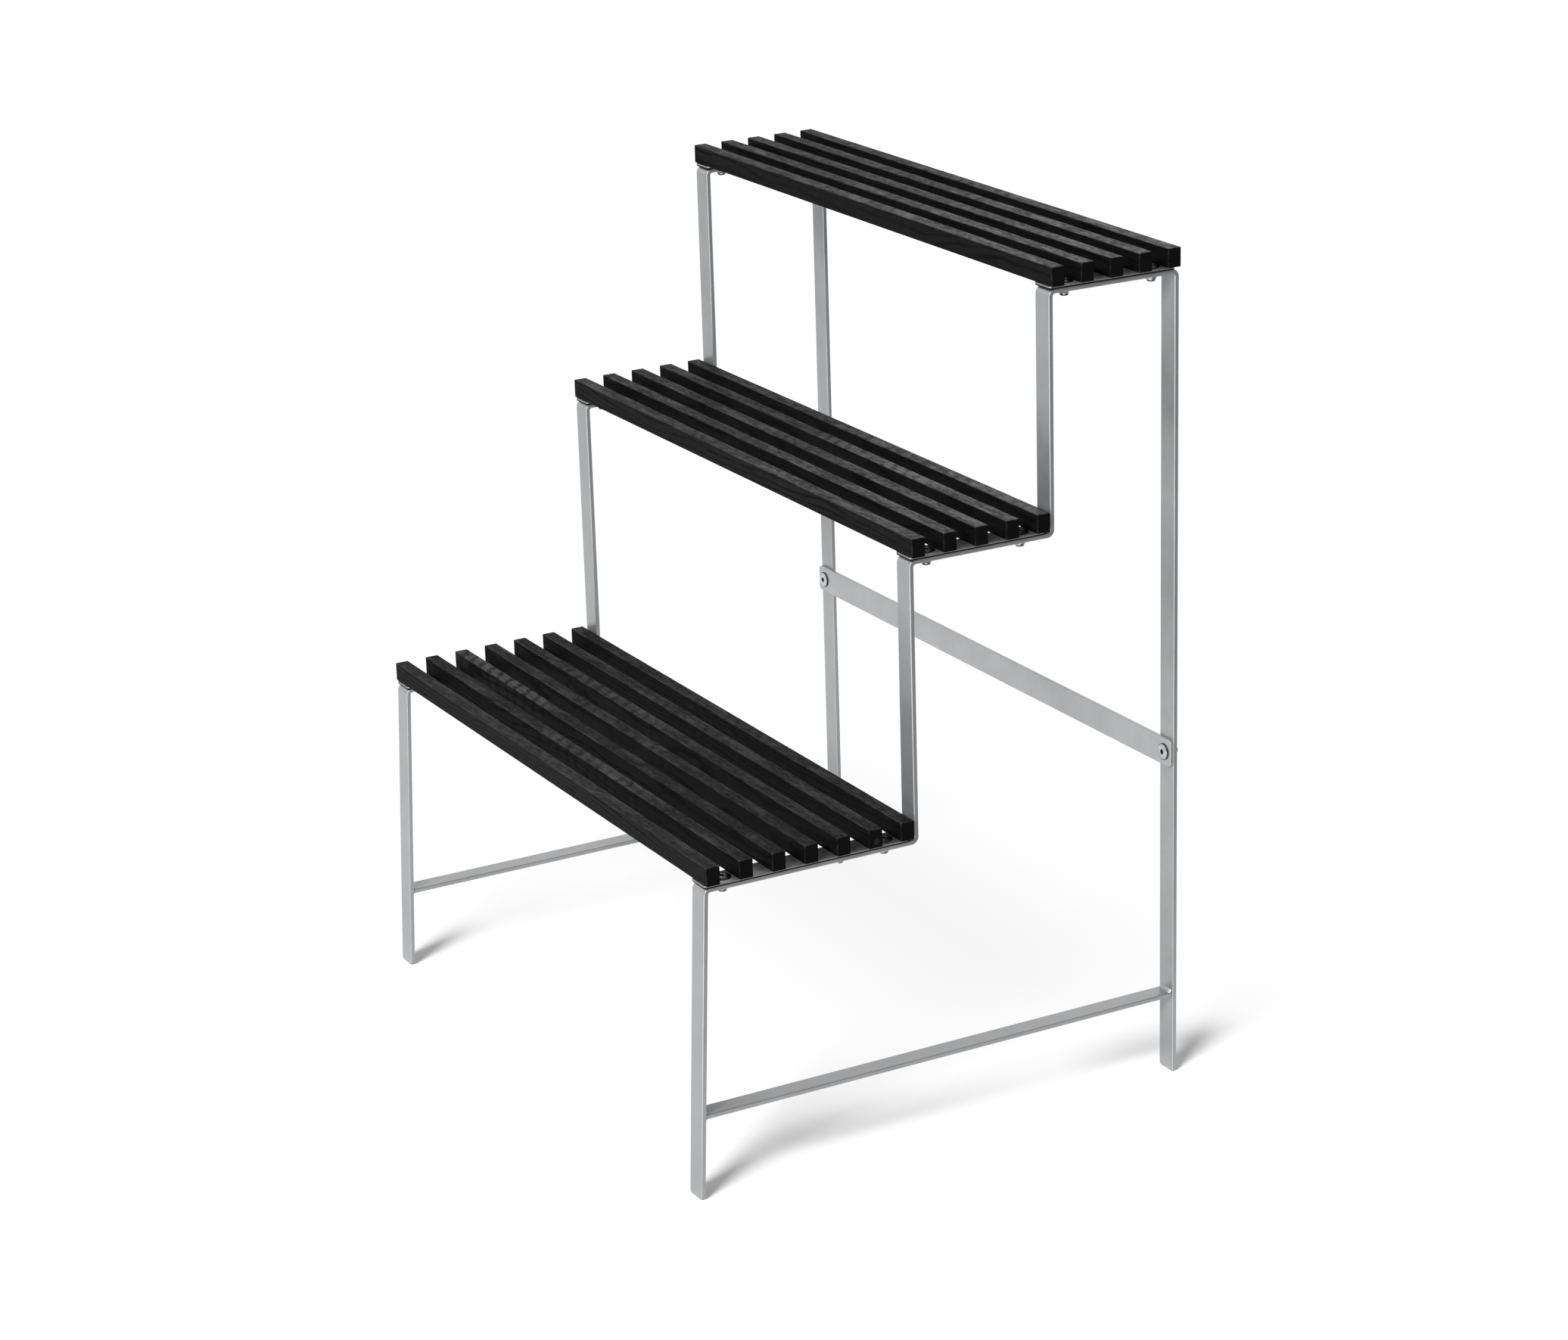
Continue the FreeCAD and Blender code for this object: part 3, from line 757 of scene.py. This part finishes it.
# Floor and light
# The stand is on a white studio floor that runs out of sight, in an even white room, under a broad
# soft light from in front that comes past the camera's left.
floor_half = 30.0
floor_gap = 0.0002
# Where a shadow starts, how far from there it is whole and how far from there it is gone.
foot_shadows = [
    ((0.335, -0.215, 0.0), 0.06, 0.42),
    ((0.345, 0.310, 0.0), 0.03, 0.15),
    ((-0.365, -0.280, 0.0), 0.03, 0.15),
]


def studio_floor():
    """White paper whose shadows fade away from the feet.

    Metal mirrors a painted bright patch of it in front and a painted dark stretch on the right, both
    shown only in reflections.
    """
    lit_white = (0.80, 0.80, 0.80, 1)
    shown_white = (1.48, 1.48, 1.48, 1)
    bright_front = (2.80, 2.80, 2.80, 1)
    left_white = (1.00, 1.00, 1.00, 1)
    mirrored_dark = (0.36, 0.36, 0.36, 1)
    paper = Finish("studio paper")
    seen = paper.add("LightPath", output="Is Camera Ray")
    mirrored = paper.add("LightPath", output="Is Glossy Ray")
    through = paper.add("LightPath", output="Is Transmission Ray")
    x = paper.part(paper.place, 0)
    y = paper.part(paper.place, 1)
    # Painted reflections: patches of floor that only metal sees, brighter in front and darker to the
    # right.
    mirrored_dark_patch = paper.between(x, 0.35, 1.20) * paper.between(y, -0.55, 0.15)
    in_front = paper.between(x, -0.25, 0.45) * (1 - paper.between(y, -1.10, -0.35))
    far_left = 1 - paper.between(x, -3.0, -1.9)
    reflected = paper.blend(in_front, shown_white, bright_front)
    reflected = paper.blend(far_left, reflected, left_white)
    reflected = paper.blend(mirrored_dark_patch, reflected, mirrored_dark)
    shown = paper.blend(seen + through, lit_white, shown_white)
    shown = paper.blend(mirrored, shown, reflected)
    paper.set(Base_Color=shown, Roughness=1.0, Specular_IOR_Level=0.0)
    faded = 0.85 + 0.15 * paper.between(y, 0.40, 0.62)
    for foot, whole, gone in foot_shadows:
        faded = faded * paper.between(paper.distance(foot), whole, gone)
    lit = Reading(paper, paper.surface.outputs[0])
    white = paper.add("Emission", {}, {"Strength": 1.0})
    paper_shown = paper.add("MixShader", {}, {0: faded * (seen + through), 1: lit, 2: white})
    paper.feed(paper.tree.nodes["Material Output"].inputs["Surface"], paper_shown)
    return paper


floor_mesh = bpy.data.meshes.new("studio_floor")
corners = [(floor_half * x, floor_half * y, 0) for x, y in ((-1, -1), (1, -1), (1, 1), (-1, 1))]
floor_mesh.from_pydata(corners, [], [(0, 1, 2, 3)])
floor_mesh.materials.append(studio_floor().material)
floor = bpy.data.objects.new("studio_floor", floor_mesh)
bpy.context.collection.objects.link(floor)
floor.location.z = cad_box[0][2] - floor_gap


class Room(Finish):
    """The white room round the stand, built up from nodes in the way of a finish."""

    def __init__(self, name):
        world = bpy.data.worlds.new(name)
        world.use_nodes = True
        bpy.context.scene.world = world
        self.tree = world.node_tree
        self.surface = self.tree.nodes["Background"]
        self.outward = self.add("TexCoord", output="Generated")


def studio_room():
    """White paper all round, but for the dim side of the room to the right, seen only in reflections."""
    dim_side = Vector((0.85, -0.05, 0.52)).normalized()
    dimmed = 0.78
    soft_fill = 0.27
    room = Room("studio")
    seen = room.add("LightPath", output="Is Camera Ray")
    mirrored = room.add("LightPath", output="Is Glossy Ray")
    through = room.add("LightPath", output="Is Transmission Ray")
    sides = {0: room.outward, 1: dim_side}
    towards_dim = room.add("VectorMath", {"operation": "DOT_PRODUCT"}, sides, "Value")
    reflected = 1 - dimmed * room.between(towards_dim, 0.15, 0.65)
    strength = soft_fill + mirrored * (reflected - soft_fill)
    strength = strength + (seen + through) * (1 - strength)
    room.set(Color=(1, 1, 1, 1), Strength=strength)


studio_room()

key = bpy.data.lights.new("soft key", "SUN")
key.energy = 2.5
key.angle = math.radians(20)
key_object = bpy.data.objects.new("soft key", key)
bpy.context.collection.objects.link(key_object)


def direction(azimuth, height):
    """From the stand outwards, azimuth round from the front to the right and height above level."""
    x = math.sin(azimuth) * math.cos(height)
    y = -math.cos(azimuth) * math.cos(height)
    return Vector((x, y, math.sin(height)))


towards_light = direction(math.radians(30), math.radians(34))
key_object.rotation_euler = towards_light.to_track_quat("Z", "Y").to_euler()


# Camera
# Where the photograph was taken from: 4.3 m away with a long lens, to the right of the front,
# looking down a little and turned slightly about its own axis.
photo_width = 2072
focal_pixels = 5248.0
azimuth = math.radians(61.42)
elevation = math.radians(18.94)
roll = math.radians(-1.74)
distance = 4.2834
aim = Vector((0.0292, 0.28253 + front_face, 0.41093))

outward = direction(azimuth, elevation)
level = Vector((math.cos(azimuth), math.sin(azimuth), 0.0))
upward = outward.cross(level)
right = level * math.cos(roll) + upward * math.sin(roll)
up = upward * math.cos(roll) - level * math.sin(roll)

lens = bpy.data.cameras.new("camera")
lens.sensor_fit = "HORIZONTAL"
lens.sensor_width = 36.0
lens.lens = focal_pixels * lens.sensor_width / photo_width
camera = bpy.data.objects.new("camera", lens)
bpy.context.collection.objects.link(camera)
turned = Matrix((right, up, outward)).transposed().to_4x4()
camera.matrix_world = Matrix.Translation(aim + outward * distance) @ turned
bpy.context.scene.camera = camera
bpy.context.scene.view_settings.view_transform = "Standard"
